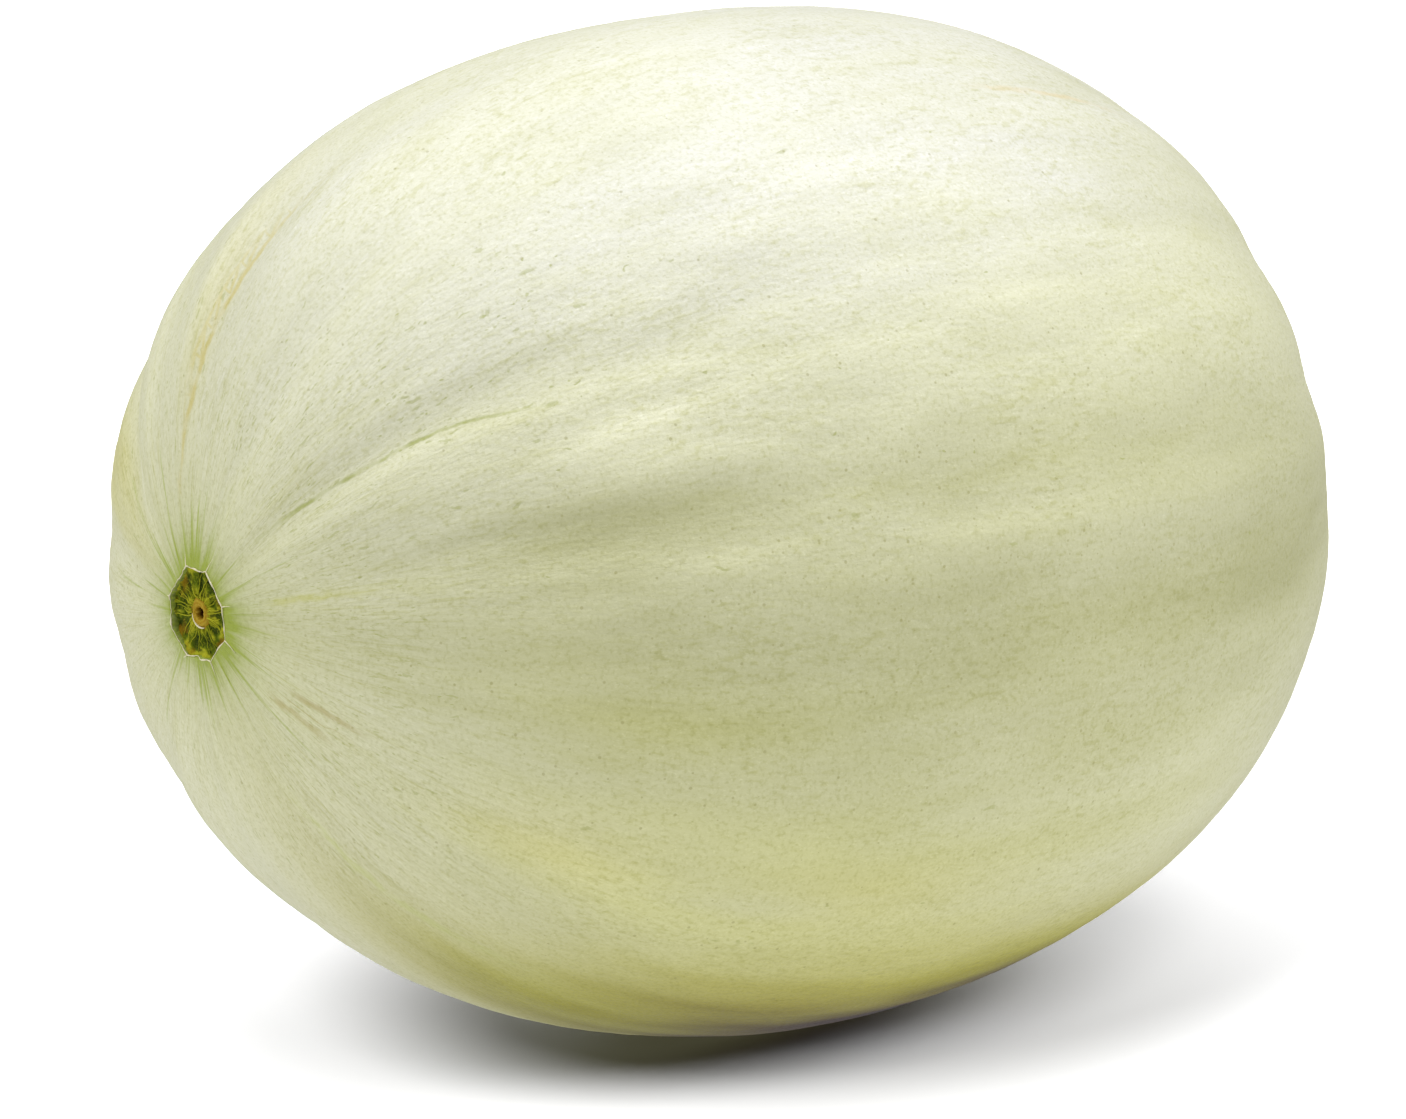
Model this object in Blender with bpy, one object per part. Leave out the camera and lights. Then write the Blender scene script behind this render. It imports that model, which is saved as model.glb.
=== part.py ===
"""A whole cream-skinned melon, lying on its side on a small flat spot.

The melon is one solid. Its long axis runs along X with the stem end at -X, and it rests on z = 0.
The body is a superellipse of revolution, made slightly oval, bent and tilted, with shallow furrows
running from end to end. A round stem scar closes one end and a small blossom scar the other.
"""

import math

import bmesh
import bpy
from mathutils import Matrix, Vector

# Driving dimensions, in metres and degrees
LENGTH = 0.2235  # from the stem scar to the blossom scar
DIAMETER = 0.165  # mean width of the middle
ROUNDNESS = 2.06  # exponent of the long outline, where 2 is an ellipse
TILT = 3.4  # how far the stem end dips below level
FOOT_DEPTH = 0.0010  # how much of the underside is pressed flat

# Outline of the ends and of the cross-section, as shares of the radius
END_WIDTH = (-0.0103, 0.0655, -0.0279)  # blossom end wider, both ends fuller, stem shoulder fuller
OVAL = 0.029  # tall oval
OVAL_AT = 102.0  # longitude of the oval's long axis
THREE_SIDED = 0.0235
THREE_SIDED_AT = 90.0

# Bend of the centre line at each end: sideways to +Y and up to +Z
STEM_BEND = (0.0050, 0.0115)
BLOSSOM_BEND = (0.0018, 0.0047)

# Furrows: longitude, and depth at the middle as a share of the radius.
# Longitude 0 is the side at -Y and 90 is the top.
FURROWS = (
    (18, 0.0065),
    (43, 0.0070),
    (70, 0.0035),
    (97, 0.0055),
    (121, 0.0040),
    (143, 0.0065),
    (171, 0.0050),
    (199, 0.0040),
    (226, 0.0040),
    (256, 0.0040),
    (281, 0.0020),
    (307, 0.0020),
    (333, 0.0030),
    (356, 0.0050),
)
FURROW_WIDTH = 7.0
CREST = 0.0035  # how far the crests between furrows stand proud
STEM_FOLD, STEM_REACH = 0.9, 0.22  # furrows deepen towards the stem end
BLOSSOM_FOLD, BLOSSOM_REACH = 0.1, 0.25
POLE_FADE = 0.10

# Scars at the two poles: radius from the pole, and height above the skin
STEM_SCAR = (
    (0.0, -0.0020),
    (0.0008, -0.0018),
    (0.0012, -0.0004),
    (0.0021, -0.0005),
    (0.0029, -0.0012),
    (0.0066, -0.0010),
    (0.0074, 0.0004),
    (0.0081, 0.0003),
    (0.0098, 0.0),
)
BLOSSOM_SCAR = (
    (0.0, -0.0008),
    (0.0015, -0.0006),
    (0.0038, -0.0005),
    (0.0048, 0.0003),
    (0.0065, 0.0),
)

# Mesh: divisions around the melon, and rings between the two scars
AROUND = 90
RINGS = 32

CREAM = (0.72, 0.74, 0.47, 1.0)
ROUGHNESS = 0.42


def clear_scene():
    """Remove every object, so that the script can be run again."""
    for thing in list(bpy.data.objects):
        bpy.data.objects.remove(thing, do_unlink=True)


def furrow_relief(longitude, along):
    """Height of the furrows and crests, as a share of the distance from the melon's centre."""
    height = CREST
    for centre, depth in FURROWS:
        gap = (longitude - centre + 180.0) % 360.0 - 180.0
        height -= depth * math.exp(-((gap / FURROW_WIDTH) ** 2))
    fold = 1.0 + STEM_FOLD * math.exp(-(1.0 + along) / STEM_REACH)
    fold *= 1.0 + BLOSSOM_FOLD * math.exp(-(1.0 - along) / BLOSSOM_REACH)
    fade = 1.0 - math.exp(-(1.0 - along * along) / POLE_FADE)
    return height * fold * fade


def skin_point(turn, longitude, lift=0.0):
    """A point of the skin. turn runs from 0 at the stem pole to pi at the blossom pole."""
    power = 2.0 / ROUNDNESS
    across = abs(math.sin(turn)) ** power
    along = -math.copysign(abs(math.cos(turn)) ** power, math.cos(turn))
    angle = math.radians(longitude)
    radius = 0.5 * DIAMETER * across
    radius *= 1.0 + sum(share * along ** (n + 1) for n, share in enumerate(END_WIDTH))
    radius *= (
        1.0
        + OVAL * math.cos(2.0 * (angle - math.radians(OVAL_AT)))
        + THREE_SIDED * math.cos(3.0 * (angle - math.radians(THREE_SIDED_AT)))
    )
    grow = 1.0 + furrow_relief(longitude, along)
    to_stem = (0.5 - 0.5 * along) ** 2
    to_blossom = (0.5 + 0.5 * along) ** 2
    return Vector(
        (
            (0.5 * LENGTH * grow + lift) * along,
            -radius * grow * math.cos(angle) + STEM_BEND[0] * to_stem + BLOSSOM_BEND[0] * to_blossom,
            radius * grow * math.sin(angle) + STEM_BEND[1] * to_stem + BLOSSOM_BEND[1] * to_blossom,
        )
    )


def turn_at(radius):
    """The turn at which the skin is this far from its pole."""
    return math.asin((2.0 * radius / DIAMETER) ** (0.5 * ROUNDNESS))


def ring_plan():
    """Every ring from the stem pole to the blossom pole, as its turn and its height."""
    stem = [(turn_at(radius), height) for radius, height in STEM_SCAR]
    blossom = [(math.pi - turn_at(radius), height) for radius, height in reversed(BLOSSOM_SCAR)]
    first = stem[-1][0]
    last = blossom[0][0]
    step = (last - first) / (RINGS + 1)
    middle = [(first + step * (n + 1), 0.0) for n in range(RINGS)]
    return stem + middle + blossom


def build_body():
    """The closed body as a mesh of rings between two poles."""
    mesh = bmesh.new()
    rings = ring_plan()
    stem_pole = mesh.verts.new(skin_point(rings[0][0], 0.0, rings[0][1]))
    blossom_pole = mesh.verts.new(skin_point(rings[-1][0], 0.0, rings[-1][1]))
    loops = [
        [mesh.verts.new(skin_point(turn, 360.0 * n / AROUND, height)) for n in range(AROUND)]
        for turn, height in rings[1:-1]
    ]
    for n in range(AROUND):
        after = (n + 1) % AROUND
        mesh.faces.new((stem_pole, loops[0][n], loops[0][after]))
        mesh.faces.new((blossom_pole, loops[-1][after], loops[-1][n]))
        for near, far in zip(loops, loops[1:]):
            mesh.faces.new((near[n], far[n], far[after], near[after]))
    bmesh.ops.recalc_face_normals(mesh, faces=mesh.faces)
    return mesh


def press_foot(mesh):
    """Tilt the body as it lies, and press its lowest part flat onto z = 0."""
    bmesh.ops.transform(mesh, matrix=Matrix.Rotation(math.radians(-TILT), 4, "Y"), verts=mesh.verts)
    lowest = min(vert.co.z for vert in mesh.verts)
    middle_x = 0.5 * (min(vert.co.x for vert in mesh.verts) + max(vert.co.x for vert in mesh.verts))
    middle_y = 0.5 * (min(vert.co.y for vert in mesh.verts) + max(vert.co.y for vert in mesh.verts))
    shift = Vector((-middle_x, -middle_y, -lowest - FOOT_DEPTH))
    bmesh.ops.translate(mesh, vec=shift, verts=mesh.verts)
    cut = bmesh.ops.bisect_plane(
        mesh,
        geom=mesh.verts[:] + mesh.edges[:] + mesh.faces[:],
        dist=0.00002,
        plane_co=(0.0, 0.0, 0.0),
        plane_no=(0.0, 0.0, -1.0),
        clear_outer=True,
    )
    rim = [part for part in cut["geom_cut"] if isinstance(part, bmesh.types.BMEdge)]
    bmesh.ops.contextual_create(mesh, geom=rim)
    bmesh.ops.recalc_face_normals(mesh, faces=mesh.faces)


def make_rind():
    """The material slot of the whole fruit."""
    rind = bpy.data.materials.new("rind")
    rind.use_nodes = True
    shader = rind.node_tree.nodes["Principled BSDF"]
    shader.inputs["Base Color"].default_value = CREAM
    shader.inputs["Roughness"].default_value = ROUGHNESS
    return rind


def main():
    clear_scene()
    body = build_body()
    press_foot(body)
    data = bpy.data.meshes.new("melon")
    body.to_mesh(data)
    body.free()
    data.materials.append(make_rind())
    for face in data.polygons:
        face.use_smooth = True
    melon = bpy.data.objects.new("melon", data)
    bpy.context.scene.collection.objects.link(melon)


main()
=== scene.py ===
"""The look of the melon: cream rind, stem scar and blossom scar, on a pale floor in soft light."""

import itertools
import math

import bpy
import numpy as np
from mathutils import Matrix, Vector


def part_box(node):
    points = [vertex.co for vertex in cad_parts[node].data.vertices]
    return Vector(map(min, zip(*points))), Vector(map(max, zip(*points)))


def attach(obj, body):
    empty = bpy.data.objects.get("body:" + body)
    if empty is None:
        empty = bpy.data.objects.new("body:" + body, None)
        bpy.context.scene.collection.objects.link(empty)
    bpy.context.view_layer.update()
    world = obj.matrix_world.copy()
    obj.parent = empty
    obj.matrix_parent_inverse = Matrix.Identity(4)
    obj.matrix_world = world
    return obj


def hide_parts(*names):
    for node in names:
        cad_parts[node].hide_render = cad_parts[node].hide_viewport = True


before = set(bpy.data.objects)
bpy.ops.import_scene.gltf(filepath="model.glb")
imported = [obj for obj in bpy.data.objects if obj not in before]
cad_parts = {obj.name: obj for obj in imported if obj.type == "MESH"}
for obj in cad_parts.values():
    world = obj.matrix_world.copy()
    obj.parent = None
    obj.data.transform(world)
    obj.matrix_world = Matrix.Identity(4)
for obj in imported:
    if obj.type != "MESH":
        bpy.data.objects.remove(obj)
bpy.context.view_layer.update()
BOX_LOW, BOX_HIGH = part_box("melon")
MM = 0.001

# ---------------------------------------------------------------- shape of the melon
# The same outline as the CAD body, with the mean width of the middle as the unit. Only the furrow
# at 139 differs: the CAD body has it at 143.
SLENDER = 1.3545  # length over width
ROUNDNESS = 2.06
TILT = 3.4
END_WIDTH = (-0.0103, 0.0655, -0.0279)
OVAL, OVAL_AT = 0.029, 102.0
THREE_SIDED, THREE_SIDED_AT = 0.0235, 90.0
STEM_BEND = (0.0303, 0.0697)
BLOSSOM_BEND = (0.0109, 0.0285)
FURROWS = (
    (18, 0.0065),
    (43, 0.0070),
    (70, 0.0035),
    (97, 0.0055),
    (121, 0.0040),
    (139, 0.0065),
    (171, 0.0050),
    (199, 0.0040),
    (226, 0.0040),
    (256, 0.0040),
    (281, 0.0020),
    (307, 0.0020),
    (333, 0.0030),
    (356, 0.0050),
)
FURROW_WIDTH = 7.0
CREST = 0.0035
STEM_FOLD, STEM_REACH = 0.9, 0.22
BLOSSOM_FOLD, BLOSSOM_REACH = 0.1, 0.25
POLE_FADE = 0.10

# Creases pressed into the skin: the (turn, longitude) places they run through, in degrees, where
# turn 0 is the stem pole and 180 the blossom pole, then half width and depth in millimetres
CREASES = (
    (((8, 107), (20, 103), (30, 100), (40, 97), (55, 92), (66, 89)), 2.6, 0.45),
    (((8, 46), (18, 43.5), (27, 41.7), (34, 41), (40, 39), (50, 35)), 1.2, 0.20),
    (((10, -68), (30, -63), (55, -57)), 1.6, 0.20),
    (((9, 14), (24, 13)), 1.0, 0.10),
    (((12, 143), (22, 140), (30, 137), (36, 133), (46, 128)), 2.8, 0.80),
    (((11, 232), (60, 226)), 2.4, 0.25),
    (((120, 18), (168, 20)), 2.6, 0.15),
    (((118, 70), (168, 66)), 2.6, 0.10),
)

# Low ridges and hollows along the furrows: (turn, longitude), half sizes in degrees, height in mm
RIDGES = (
    ((38, 36), (16, 4.0), 0.40),
    ((60, 31), (14, 4.0), 0.28),
    ((95, 9), (35, 2.6), 0.35),
    ((50, 12), (10, 2.0), 0.30),
    ((45, 18), (18, 4.0), -0.50),
    ((92, 18), (38, 4.0), -0.30),
    ((35, 45), (16, 3.0), -0.35),
    ((62, 42), (14, 3.0), -0.20),
    ((120, 45), (20, 3.5), -0.30),
    ((90, 3), (40, 3.0), -0.25),
    ((115, 62), (25, 4.0), 0.20),
    ((32, 107), (16, 3.5), 0.40),
    ((32, 97), (16, 3.0), -0.40),
    ((34, 124), (14, 5.0), 0.40),
)
# Painted highlight and shade: the rind is painted paler where ridges and wrinkles rise and darker
# where they sink
RIDGE_PAINTED_LIGHT = 0.14  # how much paler a ridge one millimetre high is

# Finer relief: heights in millimetres
SWELL = 0.18  # broad unevenness
WRINKLE = 0.34  # long fine folds
LEATHER = 0.035
RIB = 0.20  # folds that gather round the stem scar

# Mesh: divisions around, and the radii in millimetres at which the rings near a pole sit
AROUND = 320
STEM_RINGS = np.concatenate(
    [np.linspace(0.5, 4.6, 5), np.arange(4.8, 10.0, 0.2), np.geomspace(10.0, 28.0, 26)]
)
BLOSSOM_RINGS = np.concatenate([np.linspace(0.3, 7.0, 18), np.geomspace(7.4, 20.0, 14)])
BODY_RINGS = 190

# Outline of the stem scar: longitude and radius in millimetres of each corner of the torn skin, and
# the length in millimetres of the crack that runs out from it
SCAR_CORNERS = (
    (18, 6.1, 1.7),
    (45, 5.9, 0.0),
    (69, 6.5, 2.6),
    (88, 5.9, 0.0),
    (108, 6.5, 1.9),
    (145, 6.1, 0.0),
    (168, 7.1, 1.3),
    (206, 7.5, 0.0),
    (241, 7.6, 0.9),
    (262, 6.5, 0.0),
    (287, 6.7, 2.2),
    (314, 5.7, 0.0),
    (333, 6.3, 2.3),
    (352, 5.9, 0.0),
)
SCAR_DEPTH = 1.75 * MM
LIP_HEIGHT = 0.32 * MM  # how far the skin rises at the torn edge
LIP_REACH = 1.6 * MM  # how soon the rise dies away
CORE_RADIUS = 1.80 * MM
MEAN_SCAR_RADIUS = 6.4 * MM
PLATE_OVERLAP = 1.01  # how far the scar's inner plates run under the edge, as a share of its radius
FIBRES = 40
BLOSSOM_RADIUS = 4.2 * MM
BLOSSOM_DEPTH = 0.45 * MM
BLOSSOM_LIP = 0.28 * MM

NOISE_SIDE = 64  # the noise repeats after this many cells


def lattice_noise(places, seed):
    """Smooth noise from -1 to 1 at an array of points."""
    cells = np.random.default_rng(seed).uniform(-1.0, 1.0, (NOISE_SIDE,) * 3)
    corner = np.floor(places).astype(int)
    part = places - corner
    part = part * part * (3.0 - 2.0 * part)
    total = np.zeros(places.shape[:-1])
    for step in itertools.product((0, 1), repeat=3):
        index = (corner + step) % NOISE_SIDE
        weight = np.prod(np.where(step, part, 1.0 - part), axis=-1)
        total += weight * cells[index[..., 0], index[..., 1], index[..., 2]]
    return total


def fractal(places, seed, octaves=3):
    """Layered noise, each layer twice as fine and half as strong."""
    layers = [lattice_noise(places * 2.0**n, seed + n) / 2.0**n for n in range(octaves)]
    return sum(layers)


def smooth(low, high, value):
    """0 below low, 1 above high, and a smooth ramp between."""
    ramp = np.clip((value - low) / (high - low), 0.0, 1.0)
    return ramp * ramp * (3.0 - 2.0 * ramp)


def gap_between(longitude, centre):
    """Signed degrees from one longitude to another, the short way round."""
    return (longitude - centre + 180.0) % 360.0 - 180.0


def bump_at(value, centre, width):
    """A round hill of height 1 at centre."""
    return np.exp(-(((value - centre) / width) ** 2))


def band_at(longitude, centre, width):
    """A band of height 1 along one longitude that falls away on both sides."""
    return bump_at(gap_between(longitude, centre), 0.0, width)


def patch_at(turn, longitude, place, size):
    """A patch of height 1 at a (turn, longitude) place, with its half sizes in degrees."""
    return bump_at(turn, place[0], size[0]) * band_at(longitude, place[1], size[1])


def furrow_relief(longitude, along):
    """Height of furrows and crests, as a share of the distance from the centre."""
    height = CREST - sum(
        depth * band_at(longitude, centre, FURROW_WIDTH) for centre, depth in FURROWS
    )
    fold = 1.0 + STEM_FOLD * np.exp(-(1.0 + along) / STEM_REACH)
    fold = fold * (1.0 + BLOSSOM_FOLD * np.exp(-(1.0 - along) / BLOSSOM_REACH))
    return height * fold * (1.0 - np.exp(-(1.0 - along * along) / POLE_FADE))


def outline(turn, longitude):
    """Points of the smooth skin, in widths of the melon. turn and longitude are in degrees."""
    power = 2.0 / ROUNDNESS
    sine, cosine = np.sin(np.radians(turn)), np.cos(np.radians(turn))
    along = -np.sign(cosine) * np.abs(cosine) ** power
    angle = np.radians(longitude)
    radius = 0.5 * np.abs(sine) ** power
    radius = radius * (1.0 + sum(share * along ** (n + 1) for n, share in enumerate(END_WIDTH)))
    radius = radius * (
        1.0
        + OVAL * np.cos(2.0 * (angle - math.radians(OVAL_AT)))
        + THREE_SIDED * np.cos(3.0 * (angle - math.radians(THREE_SIDED_AT)))
    )
    grow = 1.0 + furrow_relief(longitude, along)
    to_stem = (0.5 - 0.5 * along) ** 2
    to_blossom = (0.5 + 0.5 * along) ** 2
    return np.stack(
        [
            0.5 * SLENDER * grow * along,
            -radius * grow * np.cos(angle) + STEM_BEND[0] * to_stem + BLOSSOM_BEND[0] * to_blossom,
            radius * grow * np.sin(angle) + STEM_BEND[1] * to_stem + BLOSSOM_BEND[1] * to_blossom,
        ],
        axis=-1,
    )


def placement():
    """The melon's width in metres, and the matrix that lays it down in the CAD body's box."""
    turns, longitudes = np.linspace(0.0, 180.0, 181), np.arange(0.0, 360.0, 2.0)
    turn, longitude = np.meshgrid(turns, longitudes, indexing="ij")
    lean = Matrix.Rotation(math.radians(-TILT), 4, "Y")
    points = outline(turn, longitude).reshape(-1, 3) @ np.array(lean.to_3x3()).T
    low, high = points.min(0), points.max(0)
    width = (BOX_HIGH.y - BOX_LOW.y) / (high[1] - low[1])
    shift = Vector(
        (
            0.5 * (BOX_LOW.x + BOX_HIGH.x - width * (low[0] + high[0])),
            0.5 * (BOX_LOW.y + BOX_HIGH.y - width * (low[1] + high[1])),
            BOX_HIGH.z - width * high[2],
        )
    )
    return width, Matrix.Translation(shift) @ lean


WIDTH, PLACE = placement()


def turn_at(radius):
    """The turn, in degrees, at which the skin is this many metres from its pole's axis."""
    return np.degrees(np.arcsin((2.0 * radius / WIDTH) ** (0.5 * ROUNDNESS)))


def scar_edge(longitude):
    """Radius of the torn edge of the stem scar, in metres: straight sides between its corners."""
    corners = sorted(SCAR_CORNERS)
    angles = np.array([corners[-1][0] - 360.0] + [c[0] for c in corners] + [corners[0][0] + 360.0])
    radii = np.array([corners[-1][1]] + [c[1] for c in corners] + [corners[0][1]]) * MM
    wrapped = np.mod(longitude, 360.0)
    side = np.clip(np.searchsorted(angles, wrapped, side="right") - 1, 0, len(angles) - 2)
    start, end = np.radians(angles[side]), np.radians(angles[side + 1])
    here = np.radians(wrapped)
    near, far = radii[side], radii[side + 1]
    spread = near * np.sin(here - start) + far * np.sin(end - here)
    return near * far * np.sin(end - start) / spread


def in_place(points):
    """Points of the melon's own frame, as world coordinates of the melon that lies on the floor."""
    matrix = np.array(PLACE)
    return points @ matrix[:3, :3].T + matrix[:3, 3]


def stem_point(radius, longitude, height):
    """World points by metres out from the stem pole, degrees round it and metres above the skin."""
    points = outline(turn_at(radius), longitude) * WIDTH
    points[..., 0] -= height
    return in_place(points)


# ---------------------------------------------------------------- meshes

TUBE_SIDE = (0.31, 0.22, 0.92)  # no tube of the scar runs along this direction


def new_piece(name, points, faces, material, colours):
    """A smooth mesh that rides on the melon. colours are linear RGB, one for each point."""
    mesh = bpy.data.meshes.new(name)
    mesh.from_pydata(points.tolist(), [], faces)
    mesh.polygons.foreach_set("use_smooth", np.ones(len(mesh.polygons), bool))
    tint = mesh.attributes.new("tint", "FLOAT_COLOR", "POINT")
    rgba = np.concatenate([colours, np.ones((len(colours), 1))], axis=1)
    tint.data.foreach_set("color", rgba.astype(np.float32).ravel())
    mesh.materials.append(material)
    mesh.update()
    piece = bpy.data.objects.new(name, mesh)
    bpy.context.scene.collection.objects.link(piece)
    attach(piece, "root")
    return piece


def set_attribute(piece, name, values):
    """Store one number, or one vector, for each point of a piece."""
    kind, field = ("FLOAT_VECTOR", "vector") if values.ndim > 1 else ("FLOAT", "value")
    attribute = piece.data.attributes.new(name, kind, "POINT")
    attribute.data.foreach_set(field, values.astype(np.float32).ravel())


def grid_faces(rings, around):
    """Quads between rings of points, with a fan of triangles at each end to two last points."""
    faces = []
    for ring in range(rings - 1):
        for n in range(around):
            after = (n + 1) % around
            base, above = ring * around, (ring + 1) * around
            faces.append((base + n, above + n, above + after, base + after))
    first, last = rings * around, rings * around + 1
    top = (rings - 1) * around
    for n in range(around):
        after = (n + 1) % around
        faces.append((first, n, after))
        faces.append((last, top + after, top + n))
    return faces


def grid_normals(points):
    """Outward normals of a grid of points that closes round its second axis."""
    around = np.roll(points, -1, axis=1) - np.roll(points, 1, axis=1)
    normals = np.cross(np.gradient(points, axis=0), around)
    return normals / np.linalg.norm(normals, axis=-1, keepdims=True)


def tube(path, radii, sides):
    """Points and faces of a closed tube along a path, one radius for each point."""
    direction = np.gradient(path, axis=0)
    direction /= np.linalg.norm(direction, axis=1, keepdims=True)
    across = np.cross(direction, TUBE_SIDE)
    across /= np.linalg.norm(across, axis=1, keepdims=True)
    upward = np.cross(across, direction)
    angles = np.arange(sides) * 2.0 * np.pi / sides
    out = np.cos(angles)[:, None] * across[:, None] + np.sin(angles)[:, None] * upward[:, None]
    rings = path[:, None] + radii[:, None, None] * out
    points = np.concatenate([rings.reshape(-1, 3), path[:1], path[-1:]])
    return points, grid_faces(len(path), sides)


def joined(parts):
    """Several (points, faces) as one."""
    points, faces, start = [], [], 0
    for some_points, some_faces in parts:
        points.append(some_points)
        faces += [tuple(start + n for n in face) for face in some_faces]
        start += len(some_points)
    return np.concatenate(points), faces


# ---------------------------------------------------------------- colour

SRGB_POWER = 2.2


def pigment(red, green, blue):
    """A colour given as screen values from 0 to 255, in linear light."""
    return (np.array([red, green, blue]) / 255.0) ** SRGB_POWER


CREAM = pigment(212, 212, 178)
OCHRE = pigment(180, 156, 56)
LEAF = pigment(150, 165, 52)
MOSS = pigment(96, 112, 8)
DEEP_MOSS = pigment(40, 54, 4)
FIBRE = pigment(180, 178, 44)
PAPER = pigment(226, 219, 188)
BARK = pigment(148, 112, 22)
DARK_BARK = pigment(70, 38, 6)
TAN = pigment(190, 160, 100)
DASH = pigment(150, 156, 66)
DOT = pigment(140, 134, 66)


def mix(colours, pigment_colour, amount):
    """Lay a pigment over colours, by an amount from 0 to 1 at each point."""
    amount = np.clip(amount, 0.0, 1.0)[..., None]
    return colours * (1.0 - amount) + pigment_colour * amount


# Thin lines, all marks of the skin but one, which is a painted highlight: the places they run
# through, half width in millimetres, strength and colour
LINES = (
    (((8, 107), (20, 103), (30, 100), (40, 97), (52, 93)), 0.42, 0.65, pigment(192, 178, 98)),
    (
        ((9, 46), (18, 43.5), (27, 41.7), (34, 41), (40, 39), (50, 35)),
        0.28,
        0.70,
        pigment(150, 158, 66),
    ),
    (((9, 14), (16, 14), (24, 13)), 0.5, 0.55, pigment(184, 184, 92)),
    (((15, -65), (32, -62), (50, -58)), 0.8, 0.5, pigment(186, 192, 116)),
    (((10, -35), (19, -34)), 0.45, 0.6, pigment(168, 156, 88)),
    (((12, -27), (22, -26)), 0.45, 0.6, pigment(168, 156, 88)),
    (((98, 65), (122, 63)), 0.7, 0.4, pigment(214, 190, 134)),
    # a pale line along the edge of the front lobe: painted highlight on its crest
    (((12, 140), (22, 136), (28, 134), (36, 130), (46, 125)), 0.45, 0.50, pigment(228, 228, 208)),
    (((20, 106), (32, 102), (44, 98)), 0.30, 0.40, pigment(200, 188, 112)),
)
FAR = 40.0  # half widths from a line at which its distance stops growing

# Stains and painted light multiply the cream of the rind: some are the skin's own stains, others
# are painted highlight on the top and crests, and painted shade on the underside and in other
# places. Each gives (turn, longitude), its half sizes in degrees, and the share of red, green and
# blue that is left in the middle of the stain
STAINS_AND_PAINTED_LIGHT = (
    ((6, 0), (13, 999), (0.92, 0.92, 0.84)),
    # painted highlight and sheen: these four make the top paler and bluer
    ((85, 60), (48, 22), (1.06, 1.06, 1.20)),
    ((76, 51), (32, 12), (1.10, 1.10, 1.22)),
    ((100, 94), (60, 30), (1.02, 1.02, 1.18)),
    ((38, 84), (28, 34), (1.04, 1.04, 1.13)),
    ((32, 104), (15, 4), (1.00, 0.98, 0.88)),
    ((26, 152), (15, 10), (0.93, 0.90, 0.62)),
    ((45, 17), (15, 6), (0.77, 0.77, 0.60)),
    ((75, -3), (64, 14), (0.77, 0.77, 0.60)),
    ((66, -31), (36, 14), (0.96, 0.96, 0.68)),
    ((60, -48), (28, 9), (1.00, 1.00, 0.84)),
    # a yellow ground spot, darkened almost to black by painted shade low down where the melon meets
    # the floor
    ((84, -65), (34, 16), (0.08, 0.02, 0.0)),
    ((84, -58), (30, 14), (1.04, 0.98, 0.0)),
    # painted shade on the upper stem end
    ((24, 108), (18, 26), (0.92, 0.92, 0.90)),
    # painted highlight on a crest
    ((50, 29), (9, 5), (1.16, 1.16, 1.19)),
    # painted shade along the ridge near longitude 38
    ((48, 38), (17, 4), (0.93, 0.93, 0.91)),
    ((46, -34), (16, 10), (1.04, 1.04, 1.04)),
    ((38, 1), (12, 10), (1.05, 1.05, 1.03)),
    # painted shade on the upper side towards the blossom end
    ((105, 75), (28, 22), (0.93, 0.93, 0.97)),
    ((92, -15), (24, 14), (0.94, 0.94, 0.86)),
    ((90, 18), (26, 6), (0.93, 0.93, 0.82)),
    ((48, -34), (14, 14), (1.07, 1.07, 1.05)),
    ((48, -10), (14, 6), (1.00, 1.00, 0.85)),
    # yellow ground spot under the front, darkened by painted shade near the floor
    ((62, -74), (42, 16), (0.80, 0.78, 0.50)),
    ((120, 0), (20, 22), (0.82, 0.82, 0.74)),
    ((56, -65), (17, 10), (0.96, 0.97, 0.12)),
    ((90, -52), (16, 6), (0.98, 1.00, 0.30)),
    ((40, -32), (9, 6), (1.02, 1.00, 0.88)),
    ((70, -32), (12, 5), (1.02, 1.00, 0.88)),
)


def ridge_height(turn, longitude):
    """Height of the low ridges and hollows, in millimetres."""
    height = np.zeros(turn.shape)
    for place, size, high in RIDGES:
        height += high * patch_at(turn, longitude, place, size)
    return height


def wrinkle_height(turn, longitude, grain):
    """Long fine folds, mostly on the front, in millimetres."""
    zone = bump_at(turn, 68.0, 46.0) * (0.25 + 0.75 * band_at(longitude, 24.0, 30.0))
    folds = fractal(grain * np.array([210.0, 210.0, 46.0]), 51)
    return WRINKLE * folds * (0.15 + zone)


def paint_rind(turn, longitude, grain, places):
    """Linear RGB of the rind: cream, broad stains with painted highlight and shade among them, soft
    meridian bands, mottling, and painted highlight on ridges with painted shade in hollows.
    """
    colours = np.broadcast_to(CREAM, turn.shape + (3,)).copy()
    ragged = 1.0 + 0.30 * fractal(grain * np.array([130.0, 130.0, 26.0]), 31)
    for place, size, left in STAINS_AND_PAINTED_LIGHT:
        amount = patch_at(turn, longitude, place, size) * ragged
        colours = colours * (1.0 + amount[..., None] * (np.array(left) - 1.0))
    bands = 0.035 * fractal(grain * np.array([70.0, 70.0, 9.0]), 11)
    cloud = 0.020 * fractal(places * 38.0, 21)
    # painted highlight on ridges and wrinkles and painted shade in hollows, in proportion to their
    # height
    painted_light_relief = ridge_height(turn, longitude) + wrinkle_height(turn, longitude, grain)
    return colours * (1.0 + bands + cloud + RIDGE_PAINTED_LIGHT * painted_light_relief)[..., None]


# ---------------------------------------------------------------- the skin

HALO_STRENGTH = 1.6  # of the green round the stem scar
HALO_REACH = 3.3 * MM
STREAK_REACH = 12.0 * MM  # of the green streaks that run out from the scar


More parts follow.
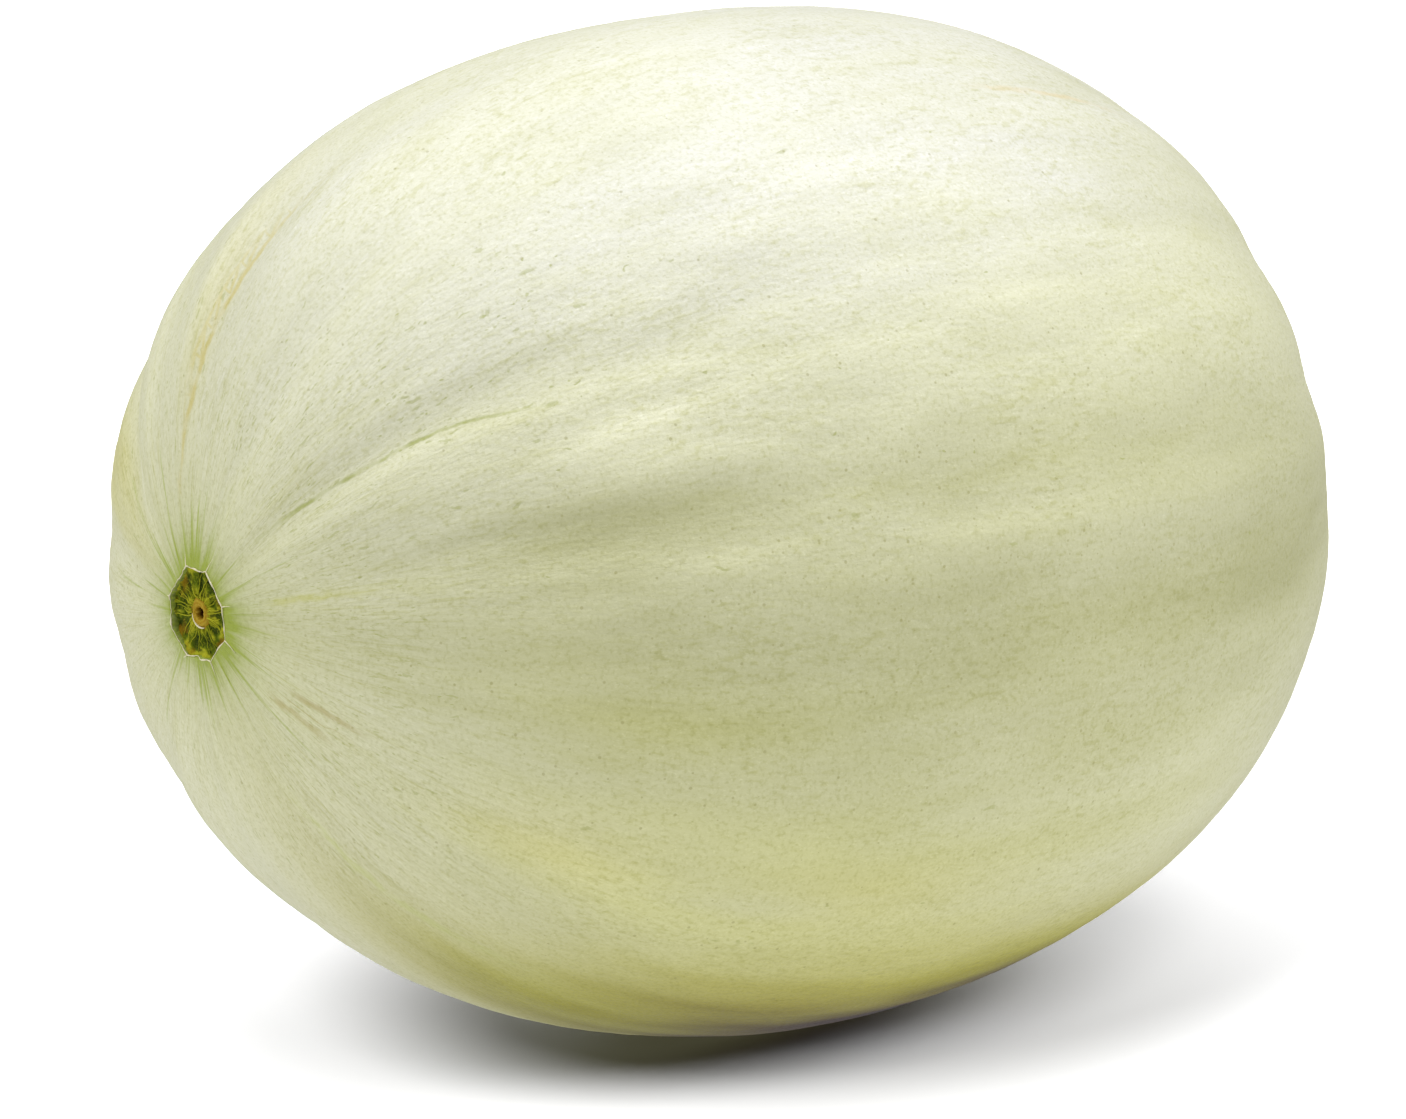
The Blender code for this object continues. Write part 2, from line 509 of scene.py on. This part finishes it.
def path_fields(turn, longitude, places):
    """Signed millimetres to a line over the skin, and a fade from 1 to 0 at its two ends."""
    turns, longitudes = zip(*places)
    share = (turn - turns[0]) / (turns[-1] - turns[0])
    arc = 0.5 * WIDTH / MM * np.sin(np.radians(turn)) * math.radians(1.0)
    off = gap_between(longitude, np.interp(turn, turns, longitudes)) * arc
    return off, smooth(0.0, 0.2, share) * (1.0 - smooth(0.55, 1.0, share))


def crease_depths(turn, longitude):
    """Depth of the creases in metres."""
    depth = np.zeros(turn.shape)
    for places, half_width, deep in CREASES:
        off, fade = path_fields(turn, longitude, places)
        depth += deep * MM * fade * np.exp(-(np.abs(off / half_width) ** 1.5))
    return depth


def nearest_line(turn, longitude):
    """Distance in half widths to the nearest thin line, the line's strength, and its pigment."""
    best = np.full(turn.shape, FAR)
    strength = np.zeros(turn.shape)
    tint = np.broadcast_to(CREAM, turn.shape + (3,)).copy()
    for places, half_width, strong, line_colour in LINES:
        off, fade = path_fields(turn, longitude, places)
        gap = np.clip(off / half_width, -FAR, FAR)
        closer = np.abs(gap) < np.abs(best)
        best = np.where(closer, gap, best)
        strength = np.where(closer, strong * fade, strength)
        tint = np.where(closer[..., None], line_colour, tint)
    return best, strength, tint


def skin_relief(turn, longitude, grain, places, radius):
    """Height in metres of everything finer than the furrows."""
    swell = SWELL * MM * fractal(places * 26.0, 41, 2)
    folds = MM * (wrinkle_height(turn, longitude, grain) + ridge_height(turn, longitude))
    leather = LEATHER * MM * fractal(places * 330.0, 61, 2)
    stem_zone = np.exp(-radius / (18.0 * MM)) * (turn < 90.0) * smooth(6.0 * MM, 9.0 * MM, radius)
    ribs = RIB * MM * fractal(grain * np.array([300.0, 300.0, 24.0]), 71, 2) * stem_zone
    clear_of_pole = smooth(8.0 * MM, 20.0 * MM, radius)
    return (swell + folds + leather) * clear_of_pole + ribs


def scar_relief(radius, longitude, turn):
    """The lip and the hollow of the stem scar, and the shallow dish of the blossom scar."""
    out = radius - scar_edge(longitude)
    rise = smooth(-0.25 * MM, 0.15 * MM, out)
    lip = LIP_HEIGHT * np.exp(-np.clip(out, 0.0, None) / LIP_REACH) * rise
    hollow = -SCAR_DEPTH * (1.0 - smooth(-0.55 * MM, 0.0, out))
    stem = (lip + hollow) * (turn < 90.0)
    dish = -BLOSSOM_DEPTH * (1.0 - smooth(0.7, 1.05, radius / BLOSSOM_RADIUS))
    ridge = BLOSSOM_LIP * bump_at(radius / BLOSSOM_RADIUS, 1.1, 0.22)
    return stem + (dish + ridge) * (turn > 90.0)


def paint_ends(colours, turn, longitude, grain, radius, edge_gap):
    """Green skin round the stem scar, moss inside it, and a tan ring at the blossom scar."""
    halo = 0.56 + 0.44 * band_at(longitude, -18.0, 48.0)
    halo = np.maximum(halo, 0.40 + 0.45 * band_at(longitude, 98.0, 42.0))
    ragged = 1.0 + 0.35 * fractal(grain * np.array([160.0, 160.0, 40.0]), 33, 2)
    near_edge = np.exp(-np.clip(edge_gap, 0.0, None) / HALO_REACH)
    colours = mix(colours, LEAF, HALO_STRENGTH * halo * ragged * near_edge)
    colours = mix(colours, MOSS, smooth(0.0, -0.25 * MM, edge_gap))
    button = (turn > 90.0) * bump_at(radius / BLOSSOM_RADIUS, 1.05, 0.35)
    return mix(colours, TAN, 0.7 * button)


def pattern_fields(turn, longitude, edge_gap):
    """How much of each pattern of the rind's material shows at each point, from 0 to 1."""
    streaky = np.exp(-np.clip(edge_gap, 0.0, None) / STREAK_REACH) * (turn < 90.0)
    long_streaks = 0.60 + 0.40 * band_at(longitude, 100.0, 38.0)
    long_streaks += 0.20 * band_at(longitude, 275.0, 45.0)
    dashed = 0.015 + 0.80 * patch_at(turn, longitude, (36.0, 46.0), (13.0, 12.0))
    stem_dashes = bump_at(turn, 19.0, 10.0) * (0.55 + 0.45 * band_at(longitude, 70.0, 50.0))
    return {
        "streaky": streaky * long_streaks,
        "freckled": 0.08 + 0.52 * patch_at(turn, longitude, (88.0, 2.0), (38.0, 26.0)),
        "dashed": np.maximum(dashed, 0.75 * stem_dashes),
        "fibrous": 0.10 + 0.80 * smooth(56.0, 12.0, turn),
    }


def build_skin(material):
    """The whole rind as one closed mesh, with its colours and the fields its material reads."""
    stem = turn_at(STEM_RINGS * MM)
    blossom = 180.0 - turn_at(BLOSSOM_RINGS * MM)[::-1]
    middle = np.linspace(stem[-1], blossom[0], BODY_RINGS + 2)[1:-1]
    rings = np.concatenate([stem, middle, blossom])
    turn, longitude = np.meshgrid(rings, np.arange(AROUND) * 360.0 / AROUND, indexing="ij")
    smooth_skin = outline(turn, longitude) * WIDTH
    radius = 0.5 * WIDTH * np.abs(np.sin(np.radians(turn))) ** (2.0 / ROUNDNESS)
    angle = np.radians(longitude)
    reach = 0.5 * SLENDER * WIDTH * np.radians(turn)
    grain = np.stack([0.5 * WIDTH * np.cos(angle), 0.5 * WIDTH * np.sin(angle), reach], axis=-1)
    height = skin_relief(turn, longitude, grain, smooth_skin, radius)
    height = height - crease_depths(turn, longitude) + scar_relief(radius, longitude, turn)
    skin = smooth_skin + grid_normals(smooth_skin) * height[..., None]
    edge_gap = (radius - scar_edge(longitude)) * (turn < 90.0) + (turn > 90.0)
    colours = paint_rind(turn, longitude, grain, smooth_skin)
    colours = paint_ends(colours, turn, longitude, grain, radius, edge_gap)

    points = in_place(skin.reshape(-1, 3))
    ends = in_place(np.array([skin[0].mean(0), skin[-1].mean(0)]))
    points = np.concatenate([points, ends])
    points[:, 2] = np.maximum(points[:, 2], 0.0)

    def with_ends(field):
        flat = field.reshape(-1, *field.shape[2:])
        return np.concatenate([flat, field[0].mean(0)[None], field[-1].mean(0)[None]])

    faces = grid_faces(len(rings), AROUND)
    piece = new_piece("rind_skin", points, faces, material, with_ends(colours))
    line_gap, line_strength, line_tint = nearest_line(turn, longitude)
    fields = {
        "grain": grain,
        "line_gap": line_gap,
        "line_strength": line_strength,
        "line_tint": line_tint,
        **pattern_fields(turn, longitude, edge_gap),
    }
    for name, field in fields.items():
        set_attribute(piece, name, with_ends(field))
    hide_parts("melon")


# ---------------------------------------------------------------- the stem scar

PITH_FLOOR = -1.70 * MM  # the undersides of the two plates, from the smooth skin
CORE_FLOOR = -1.68 * MM
FIBRE_START = 0.30  # where the fibres start, as a share of the scar's radius


def disc(radii, around, height_at, colour_at, floor):
    """A closed round plate in the stem scar. radii are shares of the scar's own radius."""
    share, longitude = np.meshgrid(radii, np.arange(around) * 360.0 / around, indexing="ij")
    height = height_at(share, longitude)
    radius = share * scar_edge(longitude) * PLATE_OVERLAP
    top = stem_point(radius, longitude, height)
    under = stem_point(radius, longitude, np.full(share.shape, floor))
    grid = np.concatenate([top, under[::-1]])
    colours = colour_at(share, longitude, height)
    colours = np.concatenate([colours, colours[::-1]])
    ends = np.array([top[0].mean(0), under[0].mean(0)])
    end_colours = np.array([colours[0].mean(0), colours[-1].mean(0)])
    points = np.concatenate([grid.reshape(-1, 3), ends])
    colours = np.concatenate([colours.reshape(-1, 3), end_colours])
    return points, grid_faces(len(grid), around), colours


def ring_places(longitude, radius, depth):
    """Places on rings, so that noise read at them closes on itself."""
    angle = np.radians(longitude)
    return np.stack([radius * np.cos(angle), radius * np.sin(angle), depth], axis=-1)


def pith_places(share, longitude):
    """Flat coordinates of the scar, in millimetres."""
    radius = share * scar_edge(longitude) / MM
    return ring_places(longitude, radius, 0.0 * radius)


def pith_height(share, longitude):
    """Torn radial fibres, small pits and a rise to the core."""
    ridges = 1.0 - np.abs(fractal(ring_places(longitude, 2.6, 1.7 * share), 81, 2))
    lumps = fractal(pith_places(share, longitude) * 0.75, 91)
    rise = 0.25 * bump_at(share, 0.35, 0.2) + 0.35 * smooth(0.85, 1.0, share)
    rise = rise - 0.75 * (1.0 - smooth(0.14, 0.26, share))
    return (-0.95 + 0.40 * ridges**2 + 0.22 * lumps + rise) * MM


def pith_colour(share, longitude, height):
    """Dark moss in the hollows, partly its own colour and partly painted shade, yellow green on the
    raised fibres, brown towards the edge.
    """
    places = pith_places(share, longitude)
    # the lower the pith lies, the darker it is painted: moss colour with painted shade in the
    # hollows
    rise = smooth(-1.05 * MM, -0.35 * MM, height)
    colours = np.broadcast_to(DEEP_MOSS, share.shape + (3,)).copy()
    colours = mix(colours, MOSS, 1.15 * rise)
    colours = mix(colours, FIBRE, smooth(0.62, 1.0, rise) * 0.8)
    dry = smooth(0.1, 0.7, fractal(places * 0.5, 101)) * smooth(0.55, 0.95, share)
    colours = mix(colours, BARK, 0.7 * dry)
    return mix(colours, DEEP_MOSS, smooth(0.25, 0.8, fractal(places * 1.1, 111)) * 0.8)


def core_height(share, longitude):
    """The ringed stub of the stalk's core, with a hole in its middle."""
    radius = share * scar_edge(longitude) / CORE_RADIUS
    radius = radius + 0.12 * fractal(ring_places(longitude, 1.7, 3.0 * share), 121)
    lip = bump_at(radius, 0.78, 0.26) * 0.55 + bump_at(radius, 0.42, 0.12) * 0.28
    hole = 1.0 - smooth(0.28, 0.52, radius)
    return (-0.55 + lip - 0.95 * hole) * MM


def core_colour(share, longitude, height):
    """Ochre rings round a dark brown hole, painted darker the deeper it lies, partly as shade in
    the hole.
    """
    # painted shade: the deeper the core lies, the darker it is painted
    rise = smooth(-1.3 * MM, -0.2 * MM, height)
    radius = share * scar_edge(longitude) / CORE_RADIUS
    wobble = fractal(ring_places(longitude, 1.7, 3.0 * share), 125)
    rings = 0.5 + 0.5 * np.cos(2.0 * np.pi * (3.1 * radius + 0.35 * wobble))
    colours = np.broadcast_to(DARK_BARK, share.shape + (3,)).copy()
    colours = mix(colours, BARK, smooth(0.15, 0.75, rise))
    return mix(colours, OCHRE, smooth(0.45, 0.95, rise) * (0.15 + 0.60 * rings))


def build_fibres(rng, material):
    """Thin torn fibres that run outwards over the pith."""
    fibres, shades = [], []
    step = np.linspace(0.0, 1.0, 14)
    for n in range(FIBRES):
        start = n * 360.0 / FIBRES + rng.uniform(-5.0, 5.0)
        bend = rng.uniform(-14.0, 14.0)
        reach = rng.uniform(0.55, 1.0)
        longitude = start + bend * step + 1.4 * np.sin(step * rng.uniform(4.0, 9.0))
        share = FIBRE_START + (reach - FIBRE_START) * step
        height = pith_height(share, longitude) + (0.10 + 0.12 * np.sin(np.pi * step)) * MM
        path = stem_point(share * scar_edge(longitude) * PLATE_OVERLAP, longitude, height)
        fibres.append(tube(path, rng.uniform(0.04, 0.11) * MM * (1.15 - step) ** 0.4, 5))
        shade = mix(MOSS[None], FIBRE, np.array([rng.uniform(0.35, 1.0)]))[0]
        shades.append(np.tile(shade, (len(fibres[-1][0]), 1)))
    points, faces = joined(fibres)
    new_piece("stem_fibres", points, faces, material, np.concatenate(shades))


def torn_edge():
    """The uneven papery cord along the torn edge of the skin."""
    longitude = np.linspace(0.0, 360.0, 361)
    waver = 0.16 * MM * fractal(ring_places(longitude, 5.0, 0.0 * longitude), 131)
    path = stem_point(scar_edge(longitude) + waver, longitude, LIP_HEIGHT * 0.75 + waver)
    thick = (0.10 + 0.12 * fractal(path * 700.0, 141, 2)) * MM
    thick[-1] = thick[0]
    return tube(path, np.clip(thick, 0.05 * MM, None), 6)


def core_collar():
    """The pale crescent under one side of the core."""
    step = np.linspace(0.0, 1.0, 25)
    radius = np.full(step.shape, 1.17 * CORE_RADIUS)
    path = stem_point(radius, 190.0 + 105.0 * step, (-0.44 + 0.25 * step) * MM)
    return tube(path, 0.17 * MM * np.sin(np.pi * step) ** 0.6 + 0.01 * MM, 6)


def crack(corner, radius, length, turned):
    """A papery line that runs out over the skin from a corner of the scar."""
    step = np.linspace(0.0, 1.0, 9)
    height = LIP_HEIGHT * np.exp(-length * step / LIP_REACH) + 0.02 * MM
    path = stem_point(radius + length * step, corner + turned * step, height)
    return tube(path, 0.10 * MM * (1.03 - step) ** 0.7, 5)


def build_scar(fibrous, papery):
    """The pith, its fibres, the core and the papery edge of the stem scar."""
    pith = disc(np.linspace(0.04, 1.0, 46), 200, pith_height, pith_colour, PITH_FLOOR)
    new_piece("stem_pith", *pith[:2], fibrous, pith[2])
    core_share = CORE_RADIUS * 1.25 / MEAN_SCAR_RADIUS
    core = disc(np.linspace(0.02, core_share, 30), 96, core_height, core_colour, CORE_FLOOR)
    new_piece("stem_core", *core[:2], fibrous, core[2])

    rng = np.random.default_rng(7)
    build_fibres(rng, fibrous)
    edges = [torn_edge(), core_collar()]
    for corner, radius, length in SCAR_CORNERS:
        if length:
            edges.append(crack(corner, radius * MM, length * MM, rng.uniform(-6.0, 6.0)))
    points, faces = joined(edges)
    new_piece("stem_rim", points, faces, papery, np.tile(PAPER, (len(points), 1)))


# ---------------------------------------------------------------- materials


def new_material(name):
    """A material with its node tree, and its Principled shader."""
    material = bpy.data.materials.new(name)
    material.use_nodes = True
    tree = material.node_tree
    return material, tree, tree.nodes["Principled BSDF"]


def node(tree, kind, settings=(), **inputs):
    """Add a node. Each input is a value or a socket to link from, and goes by its name with _ for a
    space, or by its number after an i."""
    made = tree.nodes.new(kind)
    for field, value in dict(settings).items():
        setattr(made, field, value)
    for field, value in inputs.items():
        numbered = field[0] == "i" and field[1:].isdigit()
        socket = made.inputs[int(field[1:]) if numbered else field.replace("_", " ")]
        if isinstance(value, bpy.types.NodeSocket):
            tree.links.new(value, socket)
        else:
            socket.default_value = value
    return made


def attribute(tree, name, output):
    """An output of a stored attribute."""
    return node(tree, "ShaderNodeAttribute", {"attribute_name": name}).outputs[output]


def math_node(tree, operation, first, second=0.0):
    """One step of arithmetic on numbers."""
    return node(tree, "ShaderNodeMath", {"operation": operation}, i0=first, i1=second).outputs[0]


def times(tree, first, second):
    """The product of two numbers."""
    return math_node(tree, "MULTIPLY", first, second)


def dot_product(tree, first, second):
    """The dot product of two vectors."""
    made = node(tree, "ShaderNodeVectorMath", {"operation": "DOT_PRODUCT"}, i0=first, i1=second)
    return made.outputs["Value"]


def remap(tree, value, low, high, to_low=0.0, to_high=1.0):
    """A smooth ramp from one range to another."""
    made = node(tree, "ShaderNodeMapRange", {"interpolation_type": "SMOOTHSTEP"}, Value=value)
    made.inputs["From Min"].default_value = low
    made.inputs["From Max"].default_value = high
    made.inputs["To Min"].default_value = to_low
    made.inputs["To Max"].default_value = to_high
    return made.outputs["Result"]


def blend_colour(tree, amount, under, over, how="MIX"):
    """over laid on under, by an amount from 0 to 1. Either is a socket or a linear RGB triple."""
    made = node(tree, "ShaderNodeMix", {"data_type": "RGBA", "blend_type": how}, i0=amount)
    for index, value in ((6, under), (7, over)):
        if isinstance(value, bpy.types.NodeSocket):
            tree.links.new(value, made.inputs[index])
        else:
            made.inputs[index].default_value = (*value, 1.0)
    return made.outputs[2]


def stain(tree, amount, colour, left):
    """Multiply a colour by a share of red, green and blue, by an amount from 0 to 1."""
    return blend_colour(tree, amount, colour, left, "MULTIPLY")


def noise(tree, vector, scale, stretch=(1.0, 1.0, 1.0), detail=2.0):
    """Noise in a space stretched along its axes."""
    spread = node(tree, "ShaderNodeMapping", Vector=vector, Scale=stretch).outputs[0]
    return node(tree, "ShaderNodeTexNoise", Vector=spread, Scale=scale, Detail=detail).outputs[0]


def spots(tree, vector, stretch, reach, density):
    """Spots of uneven size, at most one in each cell, more of them where density is high."""
    spread = node(tree, "ShaderNodeMapping", Vector=vector, Scale=stretch).outputs[0]
    cells = node(tree, "ShaderNodeTexVoronoi", Vector=spread, Scale=1.0)
    chance = node(tree, "ShaderNodeSeparateColor", Color=cells.outputs["Color"])
    kept = math_node(tree, "LESS_THAN", chance.outputs[0], density)
    size = remap(tree, chance.outputs[1], 0.0, 1.0, 0.45 * reach, reach)
    share = math_node(tree, "DIVIDE", cells.outputs["Distance"], size)
    return times(tree, remap(tree, share, 0.5, 1.0, 1.0, 0.0), kept)


def weave(tree, colour, pattern, where, dark, pale):
    """Stain a colour where a pattern is strong and where it is weak. dark and pale are each a range
    of the pattern and the share of red, green and blue that it leaves."""
    for low, high, left in (dark, pale):
        colour = stain(tree, times(tree, remap(tree, pattern, low, high), where), colour, left)
    return colour


def textured_colour(tree, tint, grain, place, mottle, leather):
    """The painted tint with fine mottling, flecks, fibres along the melon and leathery grain."""
    colour = stain(tree, remap(tree, mottle, 0.45, 0.80), tint, (0.85, 0.85, 0.73))
    flecks = noise(tree, grain, 1.0, (3000.0, 3000.0, 1500.0), 2.0)
    colour = stain(tree, remap(tree, flecks, 0.55, 0.78), colour, (1.11, 1.11, 1.18))
    blotch = noise(tree, grain, 1.0, (150.0, 150.0, 50.0), 3.0)
    colour = stain(tree, remap(tree, blotch, 0.50, 0.75), colour, (0.95, 0.95, 0.88))

    fibre = noise(tree, grain, 1.0, (900.0, 900.0, 75.0), 3.0)
    uneven = remap(tree, noise(tree, place, 48.0, detail=1.0), 0.35, 0.62, 0.15, 1.0)
    fibrous = times(tree, attribute(tree, "fibrous", "Fac"), uneven)
    dark, pale = (0.52, 0.72, (0.85, 0.85, 0.66)), (0.46, 0.30, (1.05, 1.05, 1.09))
    colour = weave(tree, colour, fibre, fibrous, dark, pale)

    crinkly = remap(tree, noise(tree, place, 42.0, detail=1.0), 0.35, 0.62, 0.35, 1.0)
    dark, pale = (0.52, 0.68, (0.90, 0.90, 0.78)), (0.47, 0.32, (1.05, 1.05, 1.09))
    return weave(tree, colour, leather, crinkly, dark, pale)


def with_streaks(tree, colour, grain):
    """Green streaks that run out from the stem scar."""
    streaky = attribute(tree, "streaky", "Fac")
    fine = noise(tree, grain, 1.0, (330.0, 330.0, 38.0), 3.0)
    broad = noise(tree, grain, 1.0, (130.0, 130.0, 18.0), 2.0)
    streak = math_node(tree, "ADD", times(tree, fine, 0.45), times(tree, broad, 0.55))
    level = math_node(tree, "SUBTRACT", 0.68, times(tree, streaky, 0.31))
    streak = remap(tree, math_node(tree, "SUBTRACT", streak, level), 0.0, 0.13, 0.0, 0.9)
    amount = times(tree, streak, remap(tree, streaky, 0.02, 0.2))
    return blend_colour(tree, amount, colour, LEAF)


def with_marks(tree, colour, grain, place):
    """Short dashes along the melon, finer specks, and round freckles."""
    patchy = remap(tree, noise(tree, place, 75.0, detail=2.0), 0.40, 0.62, 0.25, 1.0)
    dashed = times(tree, attribute(tree, "dashed", "Fac"), patchy)
    freckled = times(tree, attribute(tree, "freckled", "Fac"), patchy)
    push = node(tree, "ShaderNodeTexNoise", Vector=grain, Scale=330.0, Detail=2.0)
    push, far = push.outputs["Color"], (3.0 * MM,) * 3
    add = {"operation": "MULTIPLY_ADD"}
    bent = node(tree, "ShaderNodeVectorMath", add, i0=push, i1=far, i2=grain).outputs["Vector"]
    dashes = spots(tree, bent, (640.0, 640.0, 190.0), 0.38, dashed)
    colour = blend_colour(tree, times(tree, dashes, 0.40), colour, DASH)
    specks = spots(tree, bent, (1100.0, 1100.0, 420.0), 0.34, dashed)
    colour = blend_colour(tree, times(tree, specks, 0.50), colour, DASH)
    freckles = spots(tree, place, (850.0, 850.0, 850.0), 0.30, freckled)
    return blend_colour(tree, times(tree, freckles, 0.40), colour, DOT)


def with_lines(tree, colour, grain, place):
    """The thin lines, wavering and broken, one of them a painted highlight."""
    waver = remap(tree, noise(tree, place, 260.0, detail=3.0), 0.2, 0.8, -0.6, 0.6)
    gap = math_node(tree, "ADD", attribute(tree, "line_gap", "Fac"), waver)
    line = remap(tree, math_node(tree, "ABSOLUTE", gap), 0.3, 1.6, 1.0, 0.0)
    broken = remap(tree, noise(tree, grain, 1.0, (90.0, 90.0, 160.0)), 0.35, 0.55, 0.35, 1.0)
    amount = times(tree, times(tree, line, broken), attribute(tree, "line_strength", "Fac"))
    return blend_colour(tree, amount, colour, attribute(tree, "line_tint", "Vector"))


def rind_material():
    """Waxy, finely leathery skin: painted tints, green streaks, dashes, freckles and thin lines."""
    material, tree, shader = new_material("rind_skin")
    grain = attribute(tree, "grain", "Vector")
    place = node(tree, "ShaderNodeTexCoord").outputs["Object"]
    mottle = noise(tree, place, 1500.0, detail=3.0)
    leather = noise(tree, grain, 1.0, (1000.0, 1000.0, 430.0), 3.0)
    tint = attribute(tree, "tint", "Color")
    colour = textured_colour(tree, tint, grain, place, mottle, leather)
    colour = with_streaks(tree, colour, grain)
    colour = with_marks(tree, colour, grain, place)
    colour = with_lines(tree, colour, grain, place)

    pores = noise(tree, place, 1700.0, detail=3.0)
    relief = math_node(tree, "ADD", times(tree, pores, 0.45), leather)
    bump = node(tree, "ShaderNodeBump", Strength=0.55, Distance=0.35 * MM, Height=relief)
    tree.links.new(colour, shader.inputs["Base Color"])
    tree.links.new(remap(tree, mottle, 0.2, 0.8, 0.38, 0.52), shader.inputs["Roughness"])
    tree.links.new(bump.outputs[0], shader.inputs["Normal"])
    shader.inputs["Specular IOR Level"].default_value = 0.4
    return material


def scar_material(name, roughness, bump_strength):
    """Dry torn plant tissue in its painted colours."""
    material, tree, shader = new_material(name)
    tint = attribute(tree, "tint", "Color")
    place = node(tree, "ShaderNodeTexCoord").outputs["Object"]
    flecks = noise(tree, place, 3200.0, detail=3.0)
    colour = blend_colour(tree, remap(tree, flecks, 0.5, 0.8, 0.0, 0.45), tint, FIBRE)
    bump = node(tree, "ShaderNodeBump", Strength=bump_strength, Distance=0.2 * MM, Height=flecks)
    tree.links.new(colour, shader.inputs["Base Color"])
    tree.links.new(bump.outputs[0], shader.inputs["Normal"])
    shader.inputs["Roughness"].default_value = roughness
    shader.inputs["Specular IOR Level"].default_value = 0.12
    return material


# ---------------------------------------------------------------- stage, light and camera

CAMERA_DISTANCE = 4.5  # in widths of the melon
CAMERA_AZIMUTH = -43.4
CAMERA_ELEVATION = 11.45
CAMERA_FOCAL = 113.0
SENSOR_WIDTH = 36.0
AIM = (-0.0561, -0.0100)  # where it aims, right and up of the melon's centre, in widths

SKY_TOP = 2.75  # brightness overhead
SKY_EDGE = 0.15  # brightness at the horizon
SKY_POWER = 2.4
SKY_LEAN = (0.03, -0.03, 1.0)  # the brightest part of the sky is a little to the camera's right
REFLECTORS = ((80.0, 1.65), (-80.0, 1.86))  # degrees round from the camera, and brightness
REFLECTOR_DIP = 30.0  # how far below level they lie
FLOOR_HALF = 6.0
FLOOR_GREY = 0.10
# Lamps for the floor alone, so that the shadow stays close to the melon: elevation, direction away
# from the camera's own, width and strength
FLOOR_LAMPS = (
    (12.0, 180.0, 70.0, 10.0),
    (35.0, 65.0, 25.0, 8.0),
    (45.0, 30.0, 30.0, 13.0),
    (45.0, -40.0, 30.0, 24.0),
    (82.0, 180.0, 40.0, 6.0),
)


def build_stage():
    """A pale floor that runs far behind the melon, and does not shine back on it."""
    mesh = bpy.data.meshes.new("floor")
    sides = ((-1, -1), (1, -1), (1, 1), (-1, 1))
    mesh.from_pydata([(FLOOR_HALF * x, FLOOR_HALF * y, 0.0) for x, y in sides], [], [(0, 1, 2, 3)])
    floor = bpy.data.objects.new("floor", mesh)
    bpy.context.scene.collection.objects.link(floor)
    material, _, shader = new_material("floor")
    shader.inputs["Base Color"].default_value = (FLOOR_GREY, FLOOR_GREY, FLOOR_GREY, 1.0)
    shader.inputs["Roughness"].default_value = 0.9
    mesh.materials.append(material)
    floor.visible_diffuse = False
    floor.visible_glossy = False
    return floor


def look_from(thing, place, target):
    """Put a camera or a lamp at a place, and point it at a target."""
    thing.location = place
    thing.rotation_euler = (Vector(target) - Vector(place)).to_track_quat("-Z", "Y").to_euler()


def from_camera(turned, elevation):
    """The direction this many degrees round from the camera's own, and this many above level."""
    heading, rise = math.radians(CAMERA_AZIMUTH + turned), math.radians(elevation)
    level = math.cos(rise)
    return (math.sin(heading) * level, -math.cos(heading) * level, math.sin(rise))


def build_light():
    """A huge soft dome, bright overhead and dim at the horizon, and two low reflectors."""
    world = bpy.data.worlds.new("studio")
    world.use_nodes = True
    tree = world.node_tree
    direction = node(tree, "ShaderNodeTexCoord").outputs["Generated"]
    overhead = tuple(Vector(SKY_LEAN).normalized())
    height = math_node(tree, "MAXIMUM", dot_product(tree, direction, overhead), 0.0)
    glow = times(tree, math_node(tree, "POWER", height, SKY_POWER), SKY_TOP - SKY_EDGE)
    strength = math_node(tree, "ADD", glow, SKY_EDGE)
    for turned, brightness in REFLECTORS:
        towards = from_camera(turned, -REFLECTOR_DIP)
        facing = math_node(tree, "MAXIMUM", dot_product(tree, direction, towards), 0.0)
        bounce = times(tree, times(tree, facing, facing), brightness)
        strength = math_node(tree, "ADD", strength, bounce)
    background = tree.nodes["Background"]
    background.inputs["Color"].default_value = (1.0, 1.0, 1.0, 1.0)
    tree.links.new(strength, background.inputs["Strength"])
    bpy.context.scene.world = world


def light_floor(floor):
    """Broad lamps that only the floor receives, though the melon shades it."""
    receivers = bpy.data.collections.new("floor_only")
    receivers.objects.link(floor)
    for number, (elevation, turned, angle, strength) in enumerate(FLOOR_LAMPS):
        light = bpy.data.lights.new(f"floor_lamp_{number}", "SUN")
        light.energy = strength
        light.angle = math.radians(angle)
        lamp = bpy.data.objects.new(f"floor_lamp_{number}", light)
        bpy.context.scene.collection.objects.link(lamp)
        look_from(lamp, from_camera(turned, elevation), (0.0, 0.0, 0.0))
        lamp.light_linking.receiver_collection = receivers


def build_camera(centre):
    """The camera, at the photo's angle to the melon."""
    data = bpy.data.cameras.new("camera")
    data.lens = CAMERA_FOCAL
    data.sensor_width = SENSOR_WIDTH
    camera = bpy.data.objects.new("camera", data)
    bpy.context.scene.collection.objects.link(camera)
    toward = Vector(from_camera(0.0, CAMERA_ELEVATION))
    right = Vector(from_camera(90.0, 0.0))
    aim = centre + right * AIM[0] * WIDTH + Vector((0.0, 0.0, AIM[1] * WIDTH))
    look_from(camera, centre + toward * CAMERA_DISTANCE * WIDTH, aim)
    bpy.context.scene.camera = camera


def main():
    """Build the melon's pieces, the stage, the light and the camera."""
    build_skin(rind_material())
    build_scar(scar_material("pith", 0.85, 1.0), scar_material("papery", 0.55, 0.3))
    light_floor(build_stage())
    build_light()
    build_camera(PLACE.to_translation())
    bpy.context.scene.view_settings.view_transform = "Standard"


main()
